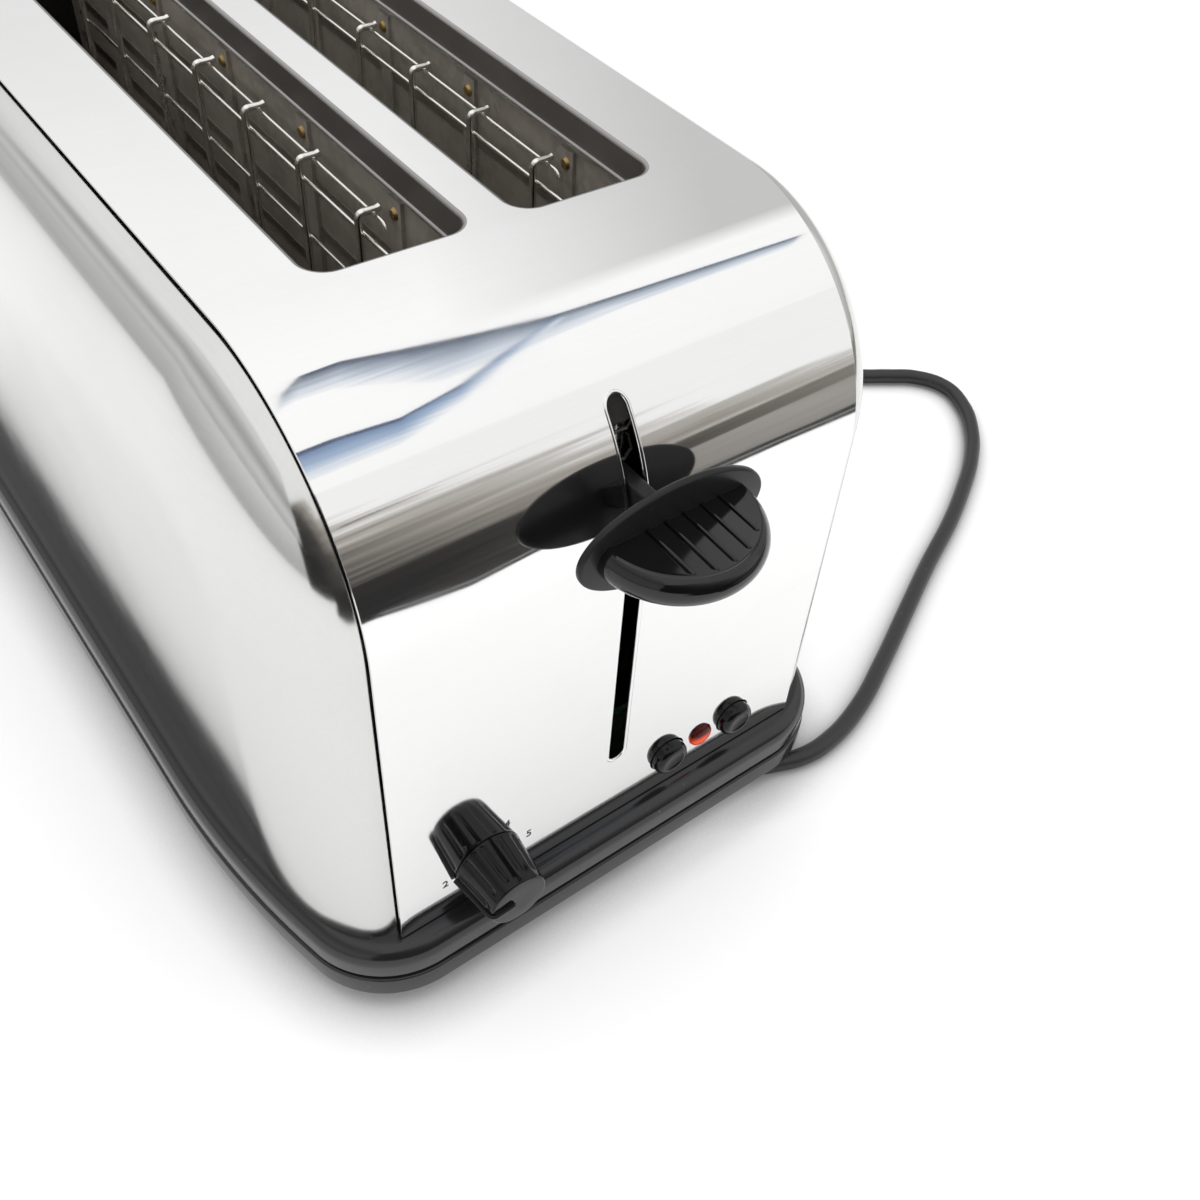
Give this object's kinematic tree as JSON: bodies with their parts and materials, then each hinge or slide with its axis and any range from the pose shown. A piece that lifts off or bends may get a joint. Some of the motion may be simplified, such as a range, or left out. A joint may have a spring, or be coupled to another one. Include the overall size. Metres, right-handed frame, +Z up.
{
  "type": "toaster",
  "caption": "Long-slot toaster with a polished steel wrap, dished side panels, black base, ridged lever, browning dial, push buttons, slide-out crumb tray and mains lead.",
  "frame": {"origin": "on the table, under the middle of the object's box without its mains lead", "axes": "+Z up, front panel and lever towards -Y, length along Y"},
  "size_m": [0.3691, 0.429, 0.191],
  "materials": {
    "polished_steel": "mirror polished, fine streaks",
    "satin_steel": "satin brushed",
    "black_gloss": "glossy black moulding",
    "black_satin": "satin black moulding",
    "rubber": "matte",
    "plated_steel": "plain plated sheet",
    "nickel_wire": "bright nickel",
    "mica": "pressed mica, grey brown",
    "heating_ribbon": "oxidised resistance ribbon",
    "brass": "plain",
    "copper_wire": "enamelled winding",
    "board": "green solder mask",
    "component": "moulded",
    "pale_plastic": "natural moulding",
    "red_lens": "clear red",
    "cord_black": "soft black sheath"
  },
  "bodies": {
    "housing": {"base_shell": "black_gloss", "rubber_feet": "rubber", "base_screws": "plated_steel", "body_wrap": "polished_steel", "left_side_panel": "satin_steel", "right_side_panel": "satin_steel", "front_bulkhead": "plated_steel", "rear_bulkhead": "plated_steel", "left_reflector": "plated_steel", "right_reflector": "plated_steel", "left_outer_heater_board": "mica", "left_inner_heater_board": "mica", "right_inner_heater_board": "mica", "right_outer_heater_board": "mica", "left_outer_heating_ribbon": "heating_ribbon", "left_inner_heating_ribbon": "heating_ribbon", "right_inner_heating_ribbon": "heating_ribbon", "right_outer_heating_ribbon": "heating_ribbon", "heater_rivets": "brass", "guide_rods": "nickel_wire", "rod_bracket": "plated_steel", "return_springs": "nickel_wire", "magnet_core": "plated_steel", "magnet_coils": "copper_wire", "control_board": "board", "power_relay": "component", "timer_chip": "component", "dial_potentiometer": "component", "button_switches": "component", "indicator_lamp": "red_lens", "indicator_lens": "red_lens", "terminal_block": "pale_plastic", "strain_relief": "rubber", "power_cord": "cord_black", "cord_coil": "cord_black", "cord_tie": "black_satin", "plug_body": "black_satin", "plug_pins": "nickel_wire"},
    "carriage": {"carriage_slider": "pale_plastic", "keeper_plate": "plated_steel", "lever_arm": "black_satin", "lever_flange": "black_satin", "lever_knob": "black_gloss", "left_bread_rack": "nickel_wire", "right_bread_rack": "nickel_wire"},
    "dial": {"dial_shaft": "plated_steel", "dial_knob": "black_gloss"},
    "left_push_button": {"left_button": "black_gloss"},
    "right_push_button": {"right_button": "black_gloss"},
    "tray": {"crumb_tray": "plated_steel"},
    "left_outer_guide": {"left_outer_bread_guide": "nickel_wire"},
    "left_inner_guide": {"left_inner_bread_guide": "nickel_wire"},
    "right_inner_guide": {"right_inner_bread_guide": "nickel_wire"},
    "right_outer_guide": {"right_outer_bread_guide": "nickel_wire"}
  },
  "joints": [
    {"name": "lever_slide", "type": "slide", "parent": "housing", "child": "carriage", "axis": [0, 0, 1], "range_m": [-0.088, 0.014], "stiffness_N_per_m": 100, "springref_m": 0.0115, "deforming": ["return_springs"]},
    {"name": "dial_turn", "type": "hinge", "parent": "housing", "child": "dial", "pos_m": [-0.042, -0.182, 0.0412], "axis": [0, 1, 0], "range_deg": [-59, 237]},
    {"name": "left_button_press", "type": "slide", "parent": "housing", "child": "left_push_button", "axis": [0, 1, 0], "range_m": [0, 0.002], "stiffness_N_per_m": 300, "springref_m": -0.001},
    {"name": "right_button_press", "type": "slide", "parent": "housing", "child": "right_push_button", "axis": [0, 1, 0], "range_m": [0, 0.002], "stiffness_N_per_m": 300, "springref_m": -0.001},
    {"name": "tray_slide", "type": "slide", "parent": "housing", "child": "tray", "axis": [0, 1, 0], "range_m": [0, 0.25]},
    {"name": "left_outer_guide_slide", "type": "slide", "parent": "housing", "child": "left_outer_guide", "axis": [1, 0, 0], "range_m": [-0.001, 0.0052]},
    {"name": "left_inner_guide_slide", "type": "slide", "parent": "housing", "child": "left_inner_guide", "axis": [1, 0, 0], "range_m": [-0.0052, 0.001]},
    {"name": "right_inner_guide_slide", "type": "slide", "parent": "housing", "child": "right_inner_guide", "axis": [1, 0, 0], "range_m": [-0.001, 0.0052]},
    {"name": "right_outer_guide_slide", "type": "slide", "parent": "housing", "child": "right_outer_guide", "axis": [1, 0, 0], "range_m": [-0.0052, 0.001]}
  ],
  "couplings": [
    {"joint": "left_outer_guide_slide", "follows": "lever_slide", "ratio": -0.056818},
    {"joint": "left_inner_guide_slide", "follows": "lever_slide", "ratio": 0.056818},
    {"joint": "right_inner_guide_slide", "follows": "lever_slide", "ratio": -0.056818},
    {"joint": "right_outer_guide_slide", "follows": "lever_slide", "ratio": 0.056818}
  ]
}
